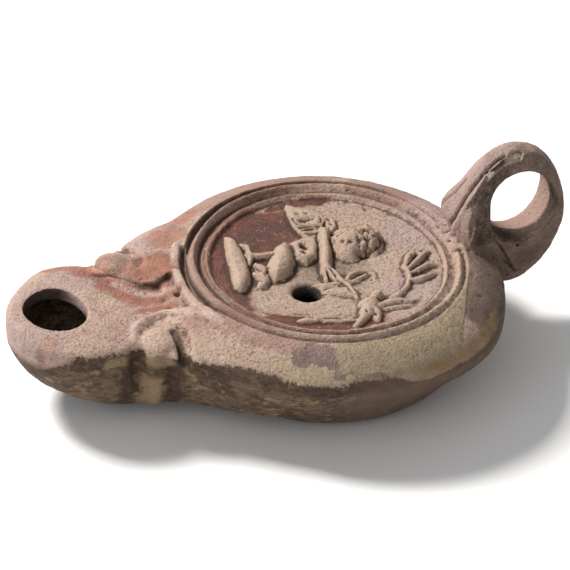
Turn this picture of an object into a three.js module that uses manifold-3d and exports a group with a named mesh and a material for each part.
// A mould-made clay oil lamp: one hollow fired piece with a round body, a sunken picture disc,
// a round-ended wick nozzle flanked by two scrolls, and a pierced ring handle.
// Sizes are in millimetres. The origin is the centre of the flat base, +Z is up,
// the nozzle points along -X and the handle stands at +X.
import * as THREE from "three";
import { ConvexGeometry } from "three/addons/geometries/ConvexGeometry.js";
import { mergeVertices } from "three/addons/utils/BufferGeometryUtils.js";
import Module from "manifold-3d";

const wasm = await Module();
wasm.setup();

// Body
const rimHeight = 25; // base to the crest of the inner ring around the picture disc
const bodyRadius = 39.9; // at the widest line, where the two mould halves meet
const widestHeight = 18.6;
const shoulderEdge = { radius: 38.2, height: 21.6 };
const sideFoot = { radius: 32, height: 5.2 }; // lower end of the straight side
const baseRadius = 24.5;
const baseGroove = { radius: 20.5, width: 1.4, depth: 0.6 };
const wallThickness = 3.2;
const discThickness = 2.7;
const floorThickness = 3.4;

// Rings around the picture disc
const innerRingRadius = 26.5;
const outerRingRadius = 29.2;
const outerRingRise = 0.6; // above the inner ring
const shoulderRadius = outerRingRadius + 3; // where the plain sloping shoulder begins
const ringGrooveDepth = 0.6;

// Picture disc
const discRadius = 25.4;
const discEdgeDepth = 1.1; // below the inner ring
const discCentreDepth = 4.2;
const fillHole = { x: -7.2, y: -7.3, radius: 3.05 };

// Nozzle
const nozzleTip = -72.4;
const nozzleHalfWidth = 15.6;
const nozzleNeckHalfWidth = 14.6;
const nozzleTopHeight = 23.5;
const channelFloorHeight = 22;
const channelRingGap = 1.8; // from the outer ring's crest to the channel's inner end
const channel = { start: -56, halfWidth: 3.6, mouthHalfAngle: 28, slope: 5.5 };
const nozzleWidestHeight = 18.5;
const nozzleKeelHeight = 2; // lowest line of the neck, above the base
const nozzleFlare = 17; // added to the half width where the neck runs into the body
const nozzleEndLength = 16; // the rounded end, measured back from the tip
const nozzleWall = 3.4;
const wickHole = { x: -62, radius: 6.8 };

// Scrolls at the root of the nozzle, the same on both sides
const knob = { x: -43.4, y: 13.4, radius: 4.4, top: 23.6 };
const scrollRidge = 1.4; // radius of the raised edge of the scroll
const scrollTop = 22.7;
const legRadius = 2.6; // the upright lobe under each knob
const crescent = { behind: 5.4, radius: 1.3 }; // the groove round the body side of each knob
const notch = { x: -48.7, y: 15.5, radius: 2.1 }; // between each knob and the nozzle
const vent = { x: -34.4, radius: 0.9 };
const arcRidge = { radius: outerRingRadius + 4, halfAngle: 27, width: 1.9, height: 24.9 };

// Ring handle
const handleHole = { x: 44.6, z: 32.4, halfLength: 8, halfHeight: 8.5 };
const handleOutline = { x: 43.1, z: 29.5, halfLength: 12.8, halfHeight: 17.4 };
const handleHeel = 0.94; // how far the outline fills its ellipse at the low rear corner
const handleHalfWidth = 5.2;
const handleRootFlare = 1.8; // added to the half width where the handle meets the rings
const handleTopTaper = 1.5; // taken off the half width at the top
const handleCrown = { flank: 1.2, top: 2.4 }; // drop of the rounded outside at its two edges
const handleGrooveDepth = 0.8;
const handleChip = { x: 40.4, y: -4.6, z: 46.4, halfSizes: [4.4, 1.7, 1.6] }; // broken edge on top

const clay = new THREE.MeshStandardMaterial({ color: 0xa58a78, roughness: 0.85, metalness: 0 });

const { lerp, smoothstep, degToRad } = THREE.MathUtils;

// A closed three.js geometry as a solid.
function solidFrom(geometry) {
  geometry.deleteAttribute("normal");
  geometry.deleteAttribute("uv");
  const merged = mergeVertices(geometry, 1e-4);
  return new wasm.Manifold(
    new wasm.Mesh({
      numProp: 3,
      vertProperties: merged.attributes.position.array,
      triVerts: new Uint32Array(merged.index.array),
    }),
  );
}

const joined = (solids) => solids.reduce((all, solid) => all.add(solid));

// Rings of points, each of the same count, skinned into one closed surface. The ends are closed
// with fans, or meet each other when the surface runs all the way round.
function skin(rings, runsRound = false) {
  const count = rings[0].length;
  const points = rings.flat();
  const faces = [];
  const at = (ring, i) => (ring % rings.length) * count + (i % count);
  for (let ring = 0; ring < rings.length - (runsRound ? 0 : 1); ring++) {
    for (let i = 0; i < count; i++) {
      faces.push(at(ring, i), at(ring, i + 1), at(ring + 1, i + 1));
      faces.push(at(ring, i), at(ring + 1, i + 1), at(ring + 1, i));
    }
  }
  if (!runsRound) {
    for (const ring of [0, rings.length - 1]) {
      const middle = new THREE.Vector3();
      rings[ring].forEach((p) => middle.addScaledVector(p, 1 / count));
      points.push(middle);
      for (let i = 0; i < count; i++) {
        const edge = [at(ring, i), at(ring, i + 1)];
        faces.push(...(ring === 0 ? edge.reverse() : edge), points.length - 1);
      }
    }
  }
  const geometry = new THREE.BufferGeometry().setFromPoints(points);
  geometry.setIndex(faces);
  return solidFrom(geometry);
}

// A round strand along a smooth curve through [x, y, z, radius] stations.
function strand(stations, sides = 7, steps = 2 * (stations.length - 1)) {
  const path = new THREE.CatmullRomCurve3(stations.map(([x, y, z]) => new THREE.Vector3(x, y, z)));
  const rings = [];
  for (let i = 0; i <= steps; i++) {
    const t = i / steps;
    const centre = path.getPoint(t);
    const along = path.getTangent(t);
    const pole = Math.abs(along.z) > 0.8 ? new THREE.Vector3(1, 0, 0) : new THREE.Vector3(0, 0, 1);
    const side = new THREE.Vector3().crossVectors(along, pole).normalize();
    const up = new THREE.Vector3().crossVectors(side, along);
    const place = t * (stations.length - 1);
    const before = Math.min(Math.floor(place), stations.length - 2);
    const radius = lerp(stations[before][3], stations[before + 1][3], place - before);
    rings.push(
      Array.from({ length: sides }, (_, j) => {
        const angle = (-2 * Math.PI * j) / sides;
        return centre
          .clone()
          .addScaledVector(side, radius * Math.cos(angle))
          .addScaledVector(up, radius * Math.sin(angle));
      }),
    );
  }
  return skin(rings);
}

// An ellipsoid with its half sizes along X, Y and Z, turned about Z by an angle in degrees.
function mound(x, y, z, halfSizes, turn = 0, sides = 14) {
  const geometry = new THREE.SphereGeometry(1, sides, Math.round(sides * 0.6));
  geometry.scale(...halfSizes).rotateZ(degToRad(turn)).translate(x, y, z);
  return solidFrom(geometry);
}

function upright(x, y, radius, bottom, top, sides) {
  const geometry = new THREE.CylinderGeometry(radius, radius, top - bottom, sides);
  return solidFrom(geometry.rotateX(Math.PI / 2).translate(x, y, (bottom + top) / 2));
}

// A [radius, height] profile turned about the Z axis.
function turned(profile, segments) {
  const points = profile.map(([radius, height]) => new THREE.Vector2(radius, height));
  return solidFrom(new THREE.LatheGeometry(points, segments).rotateX(Math.PI / 2));
}

// A smooth run of profile points through the given ones.
function curved(points, steps) {
  const curve = new THREE.SplineCurve(points.map(([r, z]) => new THREE.Vector2(r, z)));
  return curve.getPoints(steps).map((p) => [p.x, p.y]);
}

function discHeight(radius) {
  const share = Math.min(radius / discRadius, 1);
  return rimHeight - lerp(discCentreDepth, discEdgeDepth, share * share);
}

// The flare of the side from the base up to the shoulder, moved inwards by the wall thickness.
function sideProfile(inset, floor, steps) {
  return curved(
    [
      [baseRadius - inset, floor],
      [(baseRadius + sideFoot.radius) / 2 + 0.6 - inset, floor + (sideFoot.height - floor) * 0.34],
      [sideFoot.radius - inset * 0.9, sideFoot.height + inset * 0.5],
      [(sideFoot.radius + bodyRadius) / 2 - inset, (sideFoot.height + widestHeight) / 2 - 0.4],
      [bodyRadius - 0.7 - inset, widestHeight - 2.6],
      [bodyRadius - inset, widestHeight],
      [shoulderEdge.radius - inset * 0.8, shoulderEdge.height - inset * 0.6],
      [(shoulderEdge.radius + shoulderRadius) / 2 - inset * 0.6, rimHeight - 1.2 - inset * 1.1],
    ],
    steps,
  );
}

function bodySolid() {
  const ringGroove = (innerRingRadius + outerRingRadius) / 2;
  const profile = [
    [0, 0],
    [baseGroove.radius - baseGroove.width / 2, 0],
    [baseGroove.radius, baseGroove.depth],
    [baseGroove.radius + baseGroove.width / 2, 0],
    ...sideProfile(0, 0, 11),
    [shoulderRadius, rimHeight + 0.2],
    [(shoulderRadius + outerRingRadius) / 2 + 0.3, rimHeight - ringGrooveDepth],
    [outerRingRadius + 0.8, rimHeight + outerRingRise * 0.7],
    [outerRingRadius, rimHeight + outerRingRise],
    [outerRingRadius - 0.7, rimHeight + outerRingRise * 0.6],
    [ringGroove, rimHeight - ringGrooveDepth],
    [innerRingRadius + 0.5, rimHeight - 0.1],
    [innerRingRadius, rimHeight],
    [innerRingRadius - 0.5, rimHeight - 0.2],
  ];
  for (let i = 0; i <= 4; i++) {
    const radius = discRadius * (1 - i / 4);
    profile.push([radius, discHeight(radius)]);
  }
  return turned(profile, 56);
}

function bodyCavity() {
  const profile = [[0, floorThickness], ...sideProfile(wallThickness, floorThickness, 7)];
  for (let i = 0; i <= 3; i++) {
    const share = 1 - i / 3;
    const radius = (outerRingRadius - 1) * share;
    profile.push([radius, discHeight(radius) - discThickness - 0.6 * share ** 4]);
  }
  return turned(profile, 32);
}

// A closed loft of the nozzle from its tip into the body, all its walls moved in by the inset.
function nozzleSolid(inset, sides, stations) {
  const rings = [];
  const innerEnd = -14;
  for (let i = 0; i <= stations; i++) {
    const x = lerp(nozzleTip + inset + 0.03, innerEnd, (i / stations) ** 1.7);
    const share = Math.min(1, (x - nozzleTip - inset) / nozzleEndLength);
    const round = Math.sqrt(1 - (1 - share) ** 2);
    const neck = smoothstep(x, -52, -44);
    const flare = nozzleFlare * smoothstep(x, -48, -20);
    const halfWidth =
      round * lerp(nozzleHalfWidth, nozzleNeckHalfWidth, neck) + flare - inset * share;
    const sunk = smoothstep(x, channel.start, channel.start + 14);
    const top = lerp(nozzleTopHeight, channelFloorHeight, sunk) - inset;
    const rise = Math.sqrt(1 - (1 - Math.min(1, (x - nozzleTip) / 27)) ** 2);
    const bottom = lerp(nozzleWidestHeight - 1, nozzleKeelHeight, rise) + inset;
    rings.push(
      Array.from({ length: sides }, (_, j) => {
        const angle = (2 * Math.PI * j) / sides;
        const [c, s] = [Math.cos(angle), Math.sin(angle)];
        const power = s > 0 ? 0.5 : 0.75;
        const reach = s > 0 ? top - nozzleWidestHeight : nozzleWidestHeight - bottom;
        const y = halfWidth * Math.sign(c) * Math.abs(c) ** power;
        const z = nozzleWidestHeight + reach * Math.sign(s) * Math.abs(s) ** power;
        return new THREE.Vector3(x, y, z);
      }),
    );
  }
  return skin(rings);
}

// The half of the nozzle root on one side: the scroll with its knob, and the leg under it.
function scrollSolid(side) {
  const at = (x, y, z) => new THREE.Vector3(x, side * y, z);
  // The shoulder runs out to the scroll as a smooth tangent surface, so its hull starts as a
  // stretch of the body's own outside.
  const outside = [
    [shoulderRadius + 2.4, rimHeight - 1.1],
    [shoulderEdge.radius, shoulderEdge.height],
    [bodyRadius, widestHeight],
    [bodyRadius - 2.2, 12],
  ];
  const stretch = [133, 141, 149, 157, 165].map(degToRad).flatMap((angle) =>
    outside.map(([r, z]) => at(r * Math.cos(angle), r * Math.sin(angle), z)),
  );
  const fill = new ConvexGeometry([
    ...stretch,
    at(-47.6, 11, scrollTop - 0.9),
    at(-46.6, 16, scrollTop - 2),
    at(-44, 17.6, scrollTop - 2.6),
    at(-39.5, 5.4, scrollTop - 0.4),
    at(-33.5, 8, scrollTop + 0.2),
    at(-45, 9, 9),
    at(-44, 14, 12),
  ]);
  const ridgeHeight = scrollTop - scrollRidge + 0.5;
  const ridge = [
    [-30.2, 18, ridgeHeight + 0.9],
    [-32, 11.4, ridgeHeight + 0.8],
    [-35.2, 7.2, ridgeHeight + 0.5],
    [-39.6, 5.4, ridgeHeight],
    [-44.2, 6.6, ridgeHeight],
    [-47.7, 9.4, ridgeHeight],
    [-49, 13, ridgeHeight - 0.4],
  ];
  const leg = [
    [-44.4, 15.6, 20, legRadius],
    [-44.4, 15.4, 14, legRadius],
    [-44.2, 13.8, 8.4, legRadius * 0.85],
    [-43.8, 11.4, 5, legRadius * 0.4],
  ];
  return joined([
    solidFrom(fill),
    strand(ridge.map(([x, y, z]) => [x, side * y, z, scrollRidge])),
    strand(leg.map(([x, y, z, radius]) => [x, side * y, z, radius]), 10, 6),
    mound(knob.x, side * knob.y, knob.top - 2.6, [knob.radius, knob.radius, 2.6]),
    upright(knob.x, side * knob.y, knob.radius, 16, knob.top - 2.6, 16),
  ]);
}

// What is cut from a scroll: the notch beside the nozzle, and the crescent behind the knob.
function scrollCuts(side) {
  const besideNozzle = [
    [notch.x, notch.y, nozzleTopHeight + 0.5, notch.radius],
    [notch.x, notch.y - 0.1, 17, notch.radius - 0.3],
    [notch.x + 0.5, notch.y - 1.5, 9, notch.radius * 0.4],
  ];
  const roundKnob = [
    [knob.x + crescent.behind - 1.4, knob.y - 3.2, knob.top - 0.2, crescent.radius * 0.6],
    [knob.x + crescent.behind, knob.y, knob.top - 0.5, crescent.radius],
    [knob.x + crescent.behind - 0.9, knob.y + 4.2, knob.top - 1.3, crescent.radius * 1.15],
    [knob.x + crescent.behind - 1.6, knob.y + 6.8, knob.top - 2.8, crescent.radius * 1.1],
    [knob.x + crescent.behind - 2.2, knob.y + 6.8, 14, crescent.radius * 0.9],
  ];
  return joined(
    [besideNozzle, roundKnob].map((cut) =>
      strand(cut.map(([x, y, z, radius]) => [x, side * y, z, radius])),
    ),
  );
}

// The short ridge in front of the rings, with a small dot at each end.
function arcSolid() {
  const steps = 6;
  const { radius, halfAngle, width, height } = arcRidge;
  const stations = Array.from({ length: steps + 1 }, (_, i) => {
    const angle = degToRad(180 + halfAngle * ((2 * i) / steps - 1));
    return [radius * Math.cos(angle), radius * Math.sin(angle), height - width * 0.6, width * 0.6];
  });
  const dots = [stations[0], stations[steps]].map(([x, y, z, size]) =>
    mound(x, y, z, [size, size, size * 1.4], 0, 8),
  );
  // A second strand just under the first one seats the ridge in the channel floor.
  const foot = stations.map(([x, y, z, size]) => [x, y, z - size, size]);
  return joined([strand(stations, 8, steps), strand(foot, 8, steps), ...dots]);
}

function handleSolid() {
  const rings = [];
  const count = 30;
  for (let i = 0; i < count; i++) {
    const angle = (2 * Math.PI * i) / count;
    const [c, s] = [Math.cos(angle), Math.sin(angle)];
    const root = smoothstep(-c, 0.4, 0.95) * smoothstep(-s, -0.6, 0.1);
    const top = smoothstep(s, 0, 0.95);
    const halfWidth = handleHalfWidth + handleRootFlare * root - handleTopTaper * top;
    const crown = lerp(handleCrown.flank, handleCrown.top, top);
    const groove = handleGrooveDepth * smoothstep(-c, -0.6, 0);
    const innerX = handleHole.x + handleHole.halfLength * c;
    const innerZ = handleHole.z + handleHole.halfHeight * s;
    const heel = lerp(1, handleHeel, smoothstep(Math.min(c, -s), 0, 0.6));
    const outerX = handleOutline.x + handleOutline.halfLength * heel * c;
    const outerZ = handleOutline.z + handleOutline.halfHeight * heel * s;
    const reach = Math.hypot(outerX - innerX, outerZ - innerZ);
    // Across half the section: shares of the way from the hole to the outside, and of the width.
    const half = [
      [0, 0],
      [0, 0.8],
      [0.14, 1],
      [0.96 - crown / reach, 1],
      [1 - (crown * 0.62) / reach, 0.82],
      [1 - (crown * 0.2) / reach, 0.58],
      [1 - groove / reach, 0.4],
      [1, 0.22],
    ];
    const mirrored = half.slice(1).reverse().map(([out, across]) => [out, -across]);
    rings.push(
      [...half, ...mirrored].map(
        ([out, across]) =>
          new THREE.Vector3(
            lerp(innerX, outerX, out),
            -halfWidth * across,
            lerp(innerZ, outerZ, out),
          ),
      ),
    );
  }
  return skin(rings, true);
}

// Raised work on the picture disc. Each limb is a strand through [x, y, radius] stations whose
// centre line lies the given lift above the disc.
function limb(lift, stations) {
  return strand(
    stations.map(([x, y, radius]) => [x, y, discHeight(Math.hypot(x, y)) + lift, radius]),
    6,
    stations.length > 2 ? stations.length + 1 : 1,
  );
}

function swelling(x, y, halfSizes, turn) {
  return mound(x, y, discHeight(Math.hypot(x, y)), halfSizes, turn, 10);
}

function wingedFigure() {
  const feathers = [
    [-0.7, 21.6],
    [0.8, 21],
    [2.4, 20.2],
    [3.9, 19],
    [5.1, 17.5],
  ];
  return [
    swelling(-19.5, 4.3, [2.9, 11.2, 2.4], -10),
    swelling(-14.8, 7.4, [1.1, 3.6, 1.4], 6),
    limb(0.4, [[-15.2, 6.5, 1], [-8.5, 6.4, 1.1]]),
    swelling(-9.1, 3, [3.7, 6.9, 2.9], -28),
    swelling(-15, -1.4, [2.1, 3.4, 1.5], -20),
    swelling(-1.9, 6.3, [3.8, 3.9, 2.1], 0),
    ...feathers.map(([x, y]) => limb(0.3, [[1.4, 10.4, 0.9], [x, y, 1.1]])),
    limb(0.4, [[5.2, 11.2, 1.1], [7.2, 16.2, 1.1]]),
    limb(1, [[4.2, 10.4, 1.4], [1.7, 4.6, 1.2], [-0.6, -1.5, 1.1], [-0.8, -5.2, 0.9]]),
    limb(0.3, [[-0.8, -3.6, 0.7], [0.6, -8.4, 0.7], [1.9, -12.8, 0.4]]),
    limb(0.2, [[-4.6, -6.5, 0.6], [1.4, -7.2, 0.7]]),
    limb(0.2, [[3, -5.8, 0.6], [5.8, -4, 0.7], [8.3, -4.2, 0.6], [9.4, -6.2, 0.4]]),
    swelling(7.4, 4.3, [3.6, 5.8, 3.6], 0),
    swelling(11.4, 3.4, [3.3, 4.9, 3.2], 0),
  ];
}

function animalAndPlants() {
  return [
    swelling(5.9, -15.5, [1.5, 1.6, 2.2], 0),
    swelling(2.9, -17.2, [1.9, 3.2, 1.9], -28),
    limb(0.4, [[2.6, -18.4, 0.9], [-0.9, -23.6, 0.7]]),
    limb(0.3, [[3.2, -18.4, 0.8], [2.6, -23.8, 0.6]]),
    limb(0.3, [[-13.2, -20.4, 0.9], [-10, -20.8, 1.1], [-1.6, -22, 0.5]]),
    limb(0.3, [[3.8, -19.2, 1], [9.4, -19, 0.8], [13.4, -20, 0.4]]),
    limb(0.2, [[10.4, -16.1, 0.8], [14.2, -13.4, 0.6], [16.2, -8.6, 0.6]]),
    limb(0.2, [[17, -6.6, 0.6], [18.4, -3.8, 0.8], [21.6, -1.6, 0.6]]),
    limb(0.2, [[16.2, -8, 0.6], [20, -5, 0.8], [23.6, -3.8, 0.4]]),
    limb(0.2, [[16, -9.4, 0.6], [19.6, -8.8, 0.8], [22, -9.2, 0.4]]),
    limb(0.2, [[14.8, -12.4, 0.6], [17.4, -12, 0.7], [19.4, -12.8, 0.4]]),
  ];
}

// The flat channel that runs from the nozzle through the shoulder to the rings.
function channelCut() {
  const { start, halfWidth, mouthHalfAngle, slope } = channel;
  const shape = new THREE.Shape();
  const ringSide = outerRingRadius + channelRingGap;
  const end = -ringSide - 0.5;
  const mouth = ringSide * Math.sin(degToRad(mouthHalfAngle)) + 1.45;
  shape.moveTo(start, halfWidth);
  shape.lineTo(end - 8.5, halfWidth);
  shape.quadraticCurveTo(end, halfWidth + 2.4, end + 0.9, mouth);
  shape.absarc(0, 0, ringSide, degToRad(180 - mouthHalfAngle), degToRad(180 + mouthHalfAngle));
  shape.quadraticCurveTo(end, -halfWidth - 2.4, end - 8.5, -halfWidth);
  shape.lineTo(start, -halfWidth);
  const geometry = new THREE.ExtrudeGeometry(shape, {
    depth: 6,
    steps: 1,
    curveSegments: 6,
    bevelEnabled: false,
  });
  return solidFrom(geometry.rotateY(degToRad(slope)).translate(0, 0, channelFloorHeight - 2.6));
}

const lamp = joined([
  bodySolid().subtract(channelCut()),
  nozzleSolid(0, 26, 12),
  scrollSolid(1),
  scrollSolid(-1),
])
  .subtract(scrollCuts(1))
  .subtract(scrollCuts(-1))
  .add(joined([arcSolid(), handleSolid(), ...wingedFigure(), ...animalAndPlants()]))
  .subtract(mound(handleChip.x, handleChip.y, handleChip.z, handleChip.halfSizes))
  .subtract(bodyCavity())
  .subtract(nozzleSolid(nozzleWall, 16, 8))
  .subtract(upright(wickHole.x, 0, wickHole.radius, 14, 30, 32))
  .subtract(upright(fillHole.x, fillHole.y, fillHole.radius, 12, 30, 20))
  .subtract(upright(vent.x, 0, vent.radius, 14, 30, 8));

function meshFrom(solid, name, material) {
  const { numProp, vertProperties, triVerts } = solid.getMesh();
  const geometry = new THREE.BufferGeometry();
  geometry.setAttribute("position", new THREE.BufferAttribute(vertProperties, numProp));
  geometry.setIndex(new THREE.BufferAttribute(triVerts, 1));
  geometry.computeVertexNormals();
  const mesh = new THREE.Mesh(geometry, material);
  mesh.name = name;
  return mesh;
}

const group = new THREE.Group();
group.add(meshFrom(lamp, "oil_lamp", clay));

export default group;
